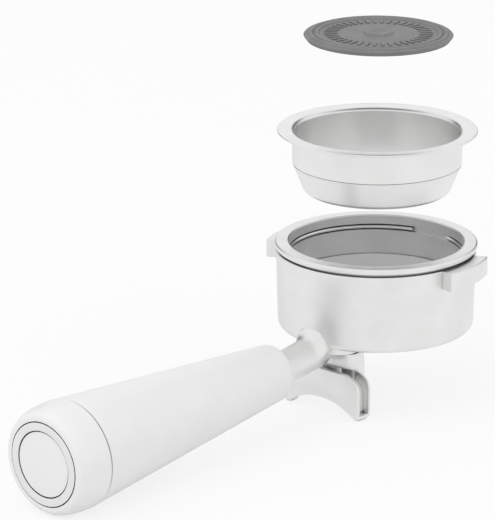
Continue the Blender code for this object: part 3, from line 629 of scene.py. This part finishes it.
def spout_casting():
    gutter = prism(gutter_outline(), "X", GUTTER_FRONT_X, GUTTER_BACK_X, GUTTER_EDGE)
    spout = make_object("spout_casting", gutter)
    reach = GUTTER_HALF + OVERCUT
    combine(spout, prism(foot_outline(), "Y", -reach, reach), "INTERSECT")
    channel_front = GUTTER_FRONT_X + GUTTER_WALL
    cut(spout, prism(channel_outline(), "X", channel_front, GUTTER_BACK_X - GUTTER_WALL))
    top = -PAD_DEPTH - GAP
    rear = rounded_rectangle((REAR_FRONT_X + HOOD_BACK_X) / 2, HOOD_BACK_X - REAR_FRONT_X,
                             2 * HOOD_HALF, REAR_CORNER_R)
    join(spout, prism(rear, "Z", -REAR_END_DEPTH, (top - HOOD_END_DEPTH) / 2, HOOD_EDGE))
    hood = rounded_rectangle((HOOD_FRONT_X + HOOD_BACK_X) / 2, HOOD_BACK_X - HOOD_FRONT_X,
                             2 * HOOD_HALF, HOOD_CORNER_R)
    join(spout, prism(hood, "Z", -HOOD_END_DEPTH, top, HOOD_EDGE))
    join(spout, at_outlet(rod(STEM_R, -STEM_END_DEPTH, top)))
    well = rounded_rectangle((WELL_FRONT_X + WELL_BACK_X) / 2, WELL_BACK_X - WELL_FRONT_X,
                             2 * WELL_HALF, GUTTER_WALL)
    cut(spout, prism(well, "Z", -WELL_FLOOR_DEPTH, -WELL_TOP_DEPTH))
    seat = top - GASKET_THICK - GAP
    bore = [(0, -WELL_TOP_DEPTH - OVERCUT), (OUTLET_HOLE_R, -WELL_TOP_DEPTH - OVERCUT)]
    bore += [(OUTLET_HOLE_R, seat), (GASKET_SEAT_R, seat)]
    bore += [(GASKET_SEAT_R, top + OVERCUT), (0, top + OVERCUT)]
    cut(spout, at_outlet(lathe(bore, SMALL_STEPS)))
    return spout


def moulded_grip():
    nose = (GRIP_FRONT_R - GRIP_NOSE_R, GRIP_START + GRIP_NOSE_R)
    profile = [(GRIP_SOCKET_R, GRIP_START)] + arc(nose, GRIP_NOSE_R, -90, 0)
    edge = (GRIP_REAR_R - GRIP_EDGE_R, GRIP_END - GRIP_EDGE_R)
    for step in range(1, GRIP_LOOPS):
        t = step / GRIP_LOOPS
        profile.append((GRIP_FRONT_R + (GRIP_REAR_R - GRIP_FRONT_R) * t, nose[1] + (edge[1] - nose[1]) * t))
    profile += arc(edge, GRIP_EDGE_R, 0, 90, EDGE_STEPS)
    profile += [(CAP_SOCKET_R, GRIP_END), (CAP_SOCKET_R, CAP_SOCKET_START)]
    profile += [(NUT_POCKET_R, CAP_SOCKET_START), (NUT_POCKET_R, NUT_POCKET_START)]
    profile += [(GRIP_BORE_R, NUT_POCKET_START)]
    profile += [(GRIP_BORE_R, SPIGOT_END), (GRIP_SOCKET_R, SPIGOT_END)]
    return make_object("moulded_grip", lathe(profile))


def rear_cap():
    front = GRIP_END + GAP
    profile = [(0, CAP_CAVITY_END), (CAP_CAVITY_R, CAP_CAVITY_END), (CAP_CAVITY_R, CAP_SPIGOT_START)]
    profile += [(CAP_SPIGOT_R, CAP_SPIGOT_START), (CAP_SPIGOT_R, CAP_SEAL_AT - SEAL_GROOVE_HALF)]
    profile += [(CAP_SEAL_GROOVE_R, CAP_SEAL_AT - SEAL_GROOVE_HALF)]
    profile += [(CAP_SEAL_GROOVE_R, CAP_SEAL_AT + SEAL_GROOVE_HALF)]
    profile += [(CAP_SPIGOT_R, CAP_SEAL_AT + SEAL_GROOVE_HALF), (CAP_SPIGOT_R, front)]
    profile += arc((CAP_R - GRIP_EDGE_R, front + GRIP_EDGE_R), GRIP_EDGE_R, -90, 0, EDGE_STEPS)
    profile += CAP_DOME
    profile += [(CAP_MOUTH_R, CAP_END), (CAP_MOUTH_R, RECESS_FLOOR), (0, RECESS_FLOOR)]
    return make_object("rear_cap", lathe(profile))


def trim_ring():
    low = RECESS_FLOOR + GAP
    edge = RING_FACE - RING_EDGE
    profile = [(RING_R, low)]
    profile += arc((RING_R - RING_EDGE, edge), RING_EDGE, 0, 90, EDGE_STEPS)
    profile += arc((RING_INNER_R + RING_EDGE, edge), RING_EDGE, 90, 180, EDGE_STEPS)
    profile += [(RING_INNER_R, low)]
    return make_object("trim_ring", lathe(profile))


def bare_insert():
    low = RECESS_FLOOR + GAP
    profile = [(0, low), (INSERT_R, low)]
    for step in range(INSERT_STEPS + 1):
        radius = INSERT_R * (1 - step / INSERT_STEPS)
        profile.append((radius, INSERT_EDGE + INSERT_DOME * (1 - (radius / INSERT_R) ** 2)))
    return make_object("bare_insert", lathe(profile))


def hole_centres():
    """Centres of the basket floor's holes, in staggered rows inside a circle."""
    row_step = HOLE_PITCH * math.sqrt(3) / 2
    rows = int(HOLE_FIELD_R / row_step)
    columns = int(HOLE_FIELD_R / HOLE_PITCH) + 1
    places = []
    for row in range(-rows, rows + 1):
        for column in range(-columns, columns + 1):
            point = Vector(((column + (row % 2) / 2) * HOLE_PITCH, row * row_step))
            if point.length < HOLE_FIELD_R:
                places.append(point)
    return places


def drilled_floor(form, radius, low, high):
    """Adds a round plate with holes to a form, both faces and the holes' walls, open at its outer edge."""
    points = [Vector((radius * math.cos(a), radius * math.sin(a)))
              for a in (2 * math.pi * step / ROUND_STEPS for step in range(ROUND_STEPS))]
    loops = [list(range(ROUND_STEPS))]
    centres = hole_centres()
    for centre in centres:
        start = len(points)
        for side in range(HOLE_SIDES):
            a = 2 * math.pi * side / HOLE_SIDES
            points.append(centre + HOLE_R * Vector((math.cos(a), math.sin(a))))
        loops.append(list(range(start, start + HOLE_SIDES)))
    edges = [(loop[i], loop[(i + 1) % len(loop)]) for loop in loops for i in range(len(loop))]
    flat, _, faces, _, _, _ = delaunay_2d_cdt(points, edges, [], 1, TRIANGLE_TOLERANCE)
    lower = [form.verts.new((p.x, p.y, low)) for p in flat]
    upper = [form.verts.new((p.x, p.y, high)) for p in flat]
    open_r = HOLE_R * math.cos(math.pi / HOLE_SIDES) * HOLE_SHARE
    grid = {}
    for centre in centres:
        grid.setdefault((round(centre.x / HOLE_PITCH), round(centre.y / HOLE_PITCH)), []).append(centre)
    for face in faces:
        middle = sum((flat[i] for i in face), Vector((0, 0))) / len(face)
        cell = (round(middle.x / HOLE_PITCH), round(middle.y / HOLE_PITCH))
        cells = [(cell[0] + dx, cell[1] + dy) for dx in (-1, 0, 1) for dy in (-1, 0, 1)]
        near = [centre for place in cells for centre in grid.get(place, [])]
        if any((middle - centre).length < open_r for centre in near):
            continue
        form.faces.new([lower[i] for i in face])
        form.faces.new([upper[i] for i in face])
    for loop in loops[1:]:
        for i in range(len(loop)):
            a, b = loop[i], loop[(i + 1) % len(loop)]
            form.faces.new((lower[a], lower[b], upper[b], upper[a]))


def pressed_basket():
    centre = (BASKET_FLOOR_R - BASKET_CORNER_R, BASKET_CORNER_R - BASKET_DEPTH)
    knee = (BASKET_R, -STRAIGHT_DEPTH)
    reach = math.hypot(knee[0] - centre[0], knee[1] - centre[1])
    bearing = math.atan2(knee[1] - centre[1], knee[0] - centre[0])
    lean = bearing - math.acos(BASKET_CORNER_R / reach)
    lean_degrees = math.degrees(lean)
    inner_r = BASKET_R - SHEET
    inner_line = math.cos(lean) * knee[0] + math.sin(lean) * knee[1] - SHEET
    inner_knee = (inner_r, (inner_line - math.cos(lean) * inner_r) / math.sin(lean))
    bend = (BASKET_R + BASKET_BEND_R, -SHEET - BASKET_BEND_R)
    crease = [(knee[0] + CREASE_HALF * math.sin(lean), knee[1] - CREASE_HALF * math.cos(lean)),
              (knee[0] - CREASE_DEPTH, knee[1]), (knee[0], knee[1] + CREASE_HALF)]
    profile = arc(centre, BASKET_CORNER_R, -90, lean_degrees) + crease
    profile += arc(bend, BASKET_BEND_R, 180, 90)
    flange_edge = FLANGE_R - FLANGE_EDGE_R
    profile += arc((flange_edge, FLANGE_EDGE_R - SHEET), FLANGE_EDGE_R, -90, 0, SHEET_EDGE_STEPS)
    profile += arc((flange_edge, -FLANGE_EDGE_R), FLANGE_EDGE_R, 0, 90, SHEET_EDGE_STEPS)
    profile += arc(bend, BASKET_BEND_R + SHEET, 90, 180) + [inner_knee]
    profile += arc(centre, BASKET_CORNER_R - SHEET, lean_degrees, -90)
    form = lathe(profile)
    bridge = [f for f in form.faces if all(v.co.xy.length < centre[0] + TOUCH for v in f.verts)]
    bmesh.ops.delete(form, geom=bridge, context="FACES_ONLY")
    drilled_floor(form, centre[0], -BASKET_DEPTH, SHEET - BASKET_DEPTH)
    bmesh.ops.remove_doubles(form, verts=form.verts, dist=WELD)
    return make_object("pressed_basket", form)


def radial_ribs(low, high):
    """A ring of short straight ribs round Z."""
    form = bmesh.new()
    for rib in range(RIB_COUNT):
        turn = Matrix.Rotation(2 * math.pi * rib / RIB_COUNT, 4, "Z")
        middle = Vector(((RIB_INNER_R + RIB_OUTER_R) / 2, 0, (low + high) / 2))
        size = Matrix.Diagonal((RIB_OUTER_R - RIB_INNER_R, 2 * RIB_HALF, high - low, 1))
        bmesh.ops.create_cube(form, size=1, matrix=turn @ Matrix.Translation(middle) @ size)
    return form


def moulded_disc():
    top = DISC_THICK / 2
    profile = [(0, -top), (DISC_R - DISC_EDGE_TAPER, -top), (DISC_R, top - DISC_EDGE_R)]
    profile += [(DISC_R - DISC_EDGE_R, top)]
    crest = top + DISC_RIDGE_HEIGHT
    for radius in DISC_RIDGES:
        profile += [(radius + 2 * DISC_RIDGE_HALF, top), (radius + DISC_RIDGE_HALF, crest)]
        profile += [(radius - DISC_RIDGE_HALF, crest), (radius - 2 * DISC_RIDGE_HALF, top)]
    hub_top = top + DISC_HUB_HEIGHT
    profile += [(DISC_HUB_R + DISC_HUB_HEIGHT, top), (DISC_HUB_R, hub_top), (DIMPLE_R, hub_top)]
    profile += [(DIMPLE_R / 2, hub_top - DIMPLE_DEPTH), (0, hub_top - DIMPLE_DEPTH)]
    disc = make_object("moulded_disc", lathe(profile))
    join(disc, radial_ribs(0, top + RIB_HEIGHT))
    return disc


def node_material(name):
    """A new material with its shader, and the helpers that link and add its nodes."""
    made = bpy.data.materials.new(name)
    made.use_nodes = True
    tree = made.node_tree
    shader = tree.nodes["Principled BSDF"]

    def add(kind, **settings):
        node = tree.nodes.new(kind)
        for key, value in settings.items():
            setattr(node, key, value)
        return node

    return made, tree.links.new, shader, add


def noise_between(link, add, source, scale, low, high, detail=NOISE_DETAIL):
    """A value that wanders between two limits."""
    noise = add("ShaderNodeTexNoise")
    noise.inputs["Scale"].default_value = scale
    noise.inputs["Detail"].default_value = detail
    link(source, noise.inputs["Vector"])
    spread = add("ShaderNodeMapRange")
    spread.inputs["From Min"].default_value = NOISE_LOW
    spread.inputs["From Max"].default_value = NOISE_HIGH
    spread.inputs["To Min"].default_value = low
    spread.inputs["To Max"].default_value = high
    link(noise.outputs["Fac"], spread.inputs["Value"])
    return spread.outputs["Result"]


def colour_between(link, add, value, dark, light):
    """A colour between a dark and a light one, chosen by a value from 0 to 1."""
    ramp = add("ShaderNodeValToRGB")
    ramp.color_ramp.elements[0].color = (*dark, 1)
    ramp.color_ramp.elements[1].color = (*light, 1)
    link(value, ramp.inputs["Fac"])
    return ramp.outputs["Color"]


def paint_seam_shade(link, add, colour, seam_shade_colour, distance):
    """Paints shade into a colour in seams and grooves: the more ambient occlusion, the darker."""
    shade = add("ShaderNodeAmbientOcclusion", samples=SEAM_SHADE_SAMPLES)
    shade.inputs["Distance"].default_value = distance
    ramp = add("ShaderNodeValToRGB")
    ramp.color_ramp.elements[0].position = SEAM_SHADE_FULL_AT
    ramp.color_ramp.elements[1].position = SEAM_SHADE_CLEAR_AT
    link(shade.outputs["AO"], ramp.inputs["Fac"])
    mixed = add("ShaderNodeMix", data_type="RGBA")
    link(ramp.outputs["Color"], mixed.inputs["Factor"])
    mixed.inputs["A"].default_value = (*seam_shade_colour, 1)
    link(colour, mixed.inputs["B"])
    return mixed.outputs["Result"]


def bump(link, add, shader, height, strength, distance):
    node = add("ShaderNodeBump")
    node.inputs["Strength"].default_value = strength
    node.inputs["Distance"].default_value = distance
    link(height, node.inputs["Height"])
    link(node.outputs["Normal"], shader.inputs["Normal"])


def turned_coordinates(link, add):
    """Coordinates that run with the radius and the height, so that noise becomes turning marks."""
    place = add("ShaderNodeTexCoord").outputs["Object"]
    parts = add("ShaderNodeSeparateXYZ")
    link(place, parts.inputs["Vector"])
    flat = add("ShaderNodeCombineXYZ")
    link(parts.outputs["X"], flat.inputs["X"])
    link(parts.outputs["Y"], flat.inputs["Y"])
    radius = add("ShaderNodeVectorMath", operation="LENGTH")
    link(flat.outputs["Vector"], radius.inputs[0])
    joined = add("ShaderNodeCombineXYZ")
    link(radius.outputs["Value"], joined.inputs["X"])
    link(parts.outputs["Z"], joined.inputs["Z"])
    return joined.outputs["Vector"], place


def metal(name, dark, light, rough, marks, seam_shade_reach=SEAM_SHADE_REACH):
    made, link, shader, add = node_material(name)
    turned, place = turned_coordinates(link, add)
    shader.inputs["Metallic"].default_value = 1.0
    cloud = noise_between(link, add, place, STEEL_CLOUD_SCALE, 0, 1)
    colour = colour_between(link, add, cloud, dark, light)
    # painted shade: the steel's colour darkens in seams, grooves and hollows
    colour = paint_seam_shade(link, add, colour, STEEL_SEAM_SHADE, seam_shade_reach)
    link(colour, shader.inputs["Base Color"])
    link(noise_between(link, add, turned, TURNING_SCALE, *rough), shader.inputs["Roughness"])
    height = noise_between(link, add, turned, TURNING_MARK_SCALE, 0, 1)
    bump(link, add, shader, height, marks, TURNING_MARK_DEPTH)
    return made


def plastic(name, dark, light, rough, grain):
    made, link, shader, add = node_material(name)
    place = add("ShaderNodeTexCoord").outputs["Object"]
    cloud = noise_between(link, add, place, PLASTIC_CLOUD_SCALE, 0, 1)
    colour = colour_between(link, add, cloud, dark, light)
    seam_shade = tuple(part * PLASTIC_SEAM_SHADE_SHARE for part in dark)
    # painted shade: the plastic's colour darkens in seams, grooves and hollows
    colour = paint_seam_shade(link, add, colour, seam_shade, SEAM_SHADE_REACH)
    link(colour, shader.inputs["Base Color"])
    link(noise_between(link, add, place, PLASTIC_GLOSS_SCALE, *rough), shader.inputs["Roughness"])
    height = noise_between(link, add, place, GRAIN_SCALE, 0, 1, GRAIN_DETAIL)
    bump(link, add, shader, height, grain, GRAIN_DEPTH)
    return made


# the painted seam shade reaches further on the satin and pressed steels, so it spreads wider from grooves
# and bends
SATIN_STEEL = metal("satin_steel", dark=(0.79, 0.79, 0.785), light=(0.84, 0.84, 0.835),
                    rough=(0.36, 0.42), marks=0.08, seam_shade_reach=1.5 * MM)
PRESSED_STEEL = metal("pressed_steel", dark=(0.80, 0.80, 0.795), light=(0.84, 0.84, 0.835),
                      rough=(0.30, 0.35), marks=0.03, seam_shade_reach=3.0 * MM)
BRIGHT_STEEL = metal("bright_steel", dark=(0.70, 0.70, 0.69), light=(0.78, 0.78, 0.77),
                     rough=(0.18, 0.28), marks=0.10)
PALE_PLASTIC = plastic("pale_plastic", dark=(0.785, 0.785, 0.785), light=(0.805, 0.805, 0.805),
                       rough=(0.40, 0.50), grain=0.2)
GREY_SILICONE = plastic("grey_silicone", dark=(0.18, 0.175, 0.175), light=(0.215, 0.209, 0.209),
                        rough=(0.55, 0.7), grain=0.45)
BLACK_RUBBER = plastic("black_rubber", dark=(0.02, 0.02, 0.02), light=(0.04, 0.04, 0.04),
                       rough=(0.6, 0.8), grain=0.4)
RED_FIBRE = plastic("red_fibre", dark=(0.28, 0.09, 0.05), light=(0.38, 0.14, 0.07),
                    rough=(0.7, 0.9), grain=0.5)


def weld(piece):
    """Closes up the slivers that cuts leave between points that all but meet."""
    form = bmesh.new()
    form.from_mesh(piece.data)
    bmesh.ops.remove_doubles(form, verts=form.verts, dist=WELD)
    form.to_mesh(piece.data)
    form.free()


def dress(piece, place, finish, body, node):
    """Puts a piece in its place, gives it its finish and lets it stand for its node."""
    weld(piece)
    piece.matrix_world = place
    piece.data.materials.clear()
    piece.data.materials.append(finish)
    piece.data.shade_smooth()
    piece.data.set_sharp_from_angle(angle=SMOOTH_ANGLE)
    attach(piece, body)
    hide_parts(node)


dress(cup_body(), AT_RIM, SATIN_STEEL, "portafilter", "portafilter_body")
dress(spring_wire(), AT_RIM, BRIGHT_STEEL, "portafilter", "basket_spring")
dress(floor_liner(), AT_RIM, PALE_PLASTIC, "portafilter", "drain_liner")
dress(hollow_screw(), AT_RIM, BRIGHT_STEEL, "portafilter", "spout_screw")
dress(spout_casting(), AT_RIM, SATIN_STEEL, "portafilter", "twin_spout")
dress(moulded_grip(), AT_HANDLE, PALE_PLASTIC, "portafilter", "handle_grip")
dress(rear_cap(), AT_HANDLE, PALE_PLASTIC, "portafilter", "end_cap")
dress(trim_ring(), AT_HANDLE, SATIN_STEEL, "portafilter", "end_ring")
dress(bare_insert(), AT_HANDLE, PALE_PLASTIC, "portafilter", "end_insert")
dress(pressed_basket(), AT_FLANGE, PRESSED_STEEL, "basket", "filter_basket")
dress(moulded_disc(), AT_DISC, GREY_SILICONE, "disc", "cleaning_disc")

INNER_FINISHES = {
    "screw_washer": RED_FIBRE, "spout_gasket": BLACK_RUBBER, "neck_stud": BRIGHT_STEEL,
    "neck_seal": BLACK_RUBBER, "grip_sleeve": BRIGHT_STEEL, "flat_washer": BRIGHT_STEEL,
    "spring_washer": BRIGHT_STEEL, "handle_nut": BRIGHT_STEEL, "cap_seal": BLACK_RUBBER,
}
for node, finish in INNER_FINISHES.items():
    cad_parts[node].data.materials.clear()
    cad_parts[node].data.materials.append(finish)


# Camera
right = Vector((math.cos(CAMERA_AZIMUTH), math.sin(CAMERA_AZIMUTH), 0))
back = Vector((math.sin(CAMERA_AZIMUTH) * math.cos(CAMERA_ELEVATION),
               -math.cos(CAMERA_AZIMUTH) * math.cos(CAMERA_ELEVATION), math.sin(CAMERA_ELEVATION)))
up = back.cross(right)
camera = bpy.data.objects.new("camera", bpy.data.cameras.new("camera"))
bpy.context.scene.collection.objects.link(camera)
camera.location = RIM + CAMERA_DISTANCE * back + CAMERA_RIGHT * right + CAMERA_UP * up
camera.rotation_mode = "QUATERNION"
camera.rotation_quaternion = (-back).to_track_quat("-Z", "Y")
camera.data.lens = CAMERA_LENS
camera.data.sensor_width = CAMERA_SENSOR
camera.data.clip_start = CAMERA_NEAR
camera.data.clip_end = CAMERA_FAR
bpy.context.scene.camera = camera
bpy.context.scene.view_settings.view_transform = "Standard"


def white_to_seen_rays(tree):
    """1 for rays from the camera and for reflections, 0 for the light that other surfaces gather."""
    path = tree.nodes.new("ShaderNodeLightPath")
    seen = path.outputs["Is Camera Ray"]
    for ray in ("Is Glossy Ray", "Is Transmission Ray"):
        either = tree.nodes.new("ShaderNodeMath")
        either.operation = "MAXIMUM"
        tree.links.new(seen, either.inputs[0])
        tree.links.new(path.outputs[ray], either.inputs[1])
        seen = either.outputs["Value"]
    return seen


# World: white to the camera and in reflections, softer as a light
world = bpy.data.worlds.new("white_room")
bpy.context.scene.world = world
world.use_nodes = True
room = world.node_tree
sky = room.nodes["Background"]
sky.inputs["Color"].default_value = (1, 1, 1, 1)
level = room.nodes.new("ShaderNodeMapRange")
level.inputs["To Min"].default_value = AMBIENT
room.links.new(white_to_seen_rays(room), level.inputs["Value"])
room.links.new(level.outputs["Result"], sky.inputs["Strength"])

# Floor: pale, mostly white to the camera, and it keeps the shadow
floor_form = bmesh.new()
bmesh.ops.create_grid(floor_form, x_segments=1, y_segments=1, size=FLOOR_HALF)
floor = make_object("floor", floor_form)
paint = bpy.data.materials.new("floor_paint")
paint.use_nodes = True
tree = paint.node_tree
tree.nodes.remove(tree.nodes["Principled BSDF"])
matt = tree.nodes.new("ShaderNodeBsdfDiffuse")
matt.inputs["Color"].default_value = (FLOOR_GREY, FLOOR_GREY, FLOOR_GREY, 1)
glow = tree.nodes.new("ShaderNodeEmission")
share = tree.nodes.new("ShaderNodeMapRange")
share.inputs["To Max"].default_value = FLOOR_GLOW
tree.links.new(white_to_seen_rays(tree), share.inputs["Value"])
mixed = tree.nodes.new("ShaderNodeMixShader")
tree.links.new(share.outputs["Result"], mixed.inputs["Fac"])
tree.links.new(matt.outputs["BSDF"], mixed.inputs[1])
tree.links.new(glow.outputs["Emission"], mixed.inputs[2])
tree.links.new(mixed.outputs["Shader"], tree.nodes["Material Output"].inputs["Surface"])
floor.data.materials.append(paint)


def place_from_middle(item, place):
    """Stands an item off the object's middle, in the camera's own directions, and turns it to face it."""
    sideways, upwards, towards = place
    item.location = MIDDLE + right * sideways + up * upwards + back * towards
    item.rotation_mode = "QUATERNION"
    item.rotation_quaternion = (MIDDLE - item.location).to_track_quat("-Z", "Y")


def soft_light(name, place, size, power):
    lamp = bpy.data.lights.new(name, "AREA")
    lamp.shape = "SQUARE"
    lamp.size = size
    lamp.energy = power
    item = bpy.data.objects.new(name, lamp)
    item.visible_glossy = False
    bpy.context.scene.collection.objects.link(item)
    place_from_middle(item, place)


soft_light("key_light", KEY_PLACE, KEY_SIZE, KEY_POWER)
soft_light("fill_light", FILL_PLACE, FILL_SIZE, FILL_POWER)


def dark_card(name, sideways):
    """A dark card beside the object that only reflections show, so that bright metal keeps its edges."""
    form = bmesh.new()
    bmesh.ops.create_grid(form, x_segments=1, y_segments=1, size=UNIT_HALF)
    card = make_object(name, form)
    card.scale = (CARD_WIDTH, CARD_HEIGHT, 1)
    place_from_middle(card, (sideways, 0, CARD_TOWARDS))
    dull = bpy.data.materials.new(name)
    dull.use_nodes = True
    nodes = dull.node_tree.nodes
    nodes.remove(nodes["Principled BSDF"])
    emit = nodes.new("ShaderNodeEmission")
    emit.inputs["Color"].default_value = (CARD_SHADE, CARD_SHADE, CARD_SHADE, 1)
    dull.node_tree.links.new(emit.outputs["Emission"], nodes["Material Output"].inputs["Surface"])
    card.data.materials.append(dull)
    card.visible_camera = False
    card.visible_diffuse = False
    card.visible_shadow = False


dark_card("left_card", -CARD_SIDE)
dark_card("right_card", CARD_SIDE)
